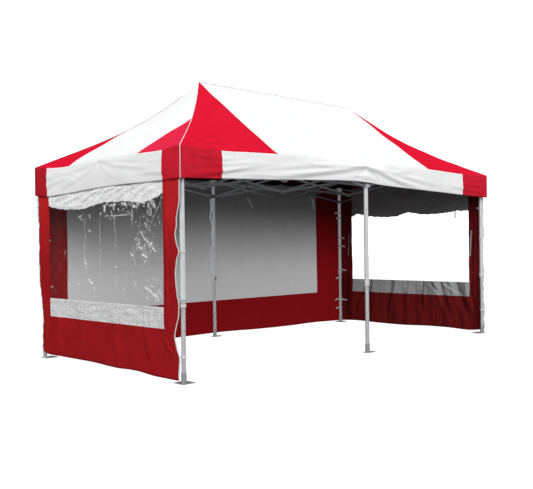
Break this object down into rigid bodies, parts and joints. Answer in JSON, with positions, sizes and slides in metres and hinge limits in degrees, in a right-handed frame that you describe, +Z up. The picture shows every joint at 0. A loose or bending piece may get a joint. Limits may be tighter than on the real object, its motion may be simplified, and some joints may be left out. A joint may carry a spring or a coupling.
{
  "type": "marquee tent",
  "caption": "Folding-frame marquee on telescopic legs with a hipped two-peak cloth roof, hanging valance, windowed end walls, a plain back wall and an open front.",
  "frame": {"origin": "on the ground under the middle of the roof", "axes": "+Z up, X along the long side, the open front faces -Y, the plain back wall is at +Y"},
  "size_m": [6, 3, 3.51],
  "materials": {
    "tent_cloth": "coated polyester, white with red corners, borders and gores",
    "clear_film": "clear soft plastic film, creased",
    "leg_tube": "satin anodised",
    "inner_tube": "satin anodised tube on a plated steel foot",
    "truss_bar": "satin anodised",
    "mast_tube": "satin anodised",
    "bracket_plastic": "moulded, matte"
  },
  "bodies": {
    "marquee": {"outer_leg_front_left": "leg_tube", "slider_front_left": "bracket_plastic", "outer_leg_front_middle": "leg_tube", "slider_front_middle": "bracket_plastic", "outer_leg_front_right": "leg_tube", "slider_front_right": "bracket_plastic", "outer_leg_back_left": "leg_tube", "slider_back_left": "bracket_plastic", "outer_leg_back_middle": "leg_tube", "slider_back_middle": "bracket_plastic", "outer_leg_back_right": "leg_tube", "slider_back_right": "bracket_plastic", "truss_front_left": "truss_bar", "truss_front_right": "truss_bar", "truss_back_left": "truss_bar", "truss_back_right": "truss_bar", "truss_left_end": "truss_bar", "truss_middle": "truss_bar", "truss_right_end": "truss_bar", "truss_centre_left": "truss_bar", "truss_centre_right": "truss_bar", "truss_left_front_link": "truss_bar", "truss_left_back_link": "truss_bar", "truss_right_front_link": "truss_bar", "truss_right_back_link": "truss_bar", "mast_left": "mast_tube", "mast_right": "mast_tube", "roof_front": "tent_cloth", "roof_back": "tent_cloth", "roof_left": "tent_cloth", "roof_right": "tent_cloth", "valance_front": "tent_cloth", "valance_back": "tent_cloth", "valance_left": "tent_cloth", "valance_right": "tent_cloth", "back_wall": "tent_cloth", "left_wall": "tent_cloth", "right_wall": "tent_cloth", "left_window": "clear_film", "right_window": "clear_film"},
    "inner_leg_front_left": {"inner_leg_front_left": "inner_tube"},
    "inner_leg_front_middle": {"inner_leg_front_middle": "inner_tube"},
    "inner_leg_front_right": {"inner_leg_front_right": "inner_tube"},
    "inner_leg_back_left": {"inner_leg_back_left": "inner_tube"},
    "inner_leg_back_middle": {"inner_leg_back_middle": "inner_tube"},
    "inner_leg_back_right": {"inner_leg_back_right": "inner_tube"}
  },
  "joints": [
    {"name": "leg_front_left_height", "type": "slide", "parent": "marquee", "child": "inner_leg_front_left", "axis": [0, 0, 1], "range_m": [0, 0.3]},
    {"name": "leg_front_middle_height", "type": "slide", "parent": "marquee", "child": "inner_leg_front_middle", "axis": [0, 0, 1], "range_m": [0, 0.3]},
    {"name": "leg_front_right_height", "type": "slide", "parent": "marquee", "child": "inner_leg_front_right", "axis": [0, 0, 1], "range_m": [0, 0.3]},
    {"name": "leg_back_left_height", "type": "slide", "parent": "marquee", "child": "inner_leg_back_left", "axis": [0, 0, 1], "range_m": [0, 0.3]},
    {"name": "leg_back_middle_height", "type": "slide", "parent": "marquee", "child": "inner_leg_back_middle", "axis": [0, 0, 1], "range_m": [0, 0.3]},
    {"name": "leg_back_right_height", "type": "slide", "parent": "marquee", "child": "inner_leg_back_right", "axis": [0, 0, 1], "range_m": [0, 0.3]}
  ]
}
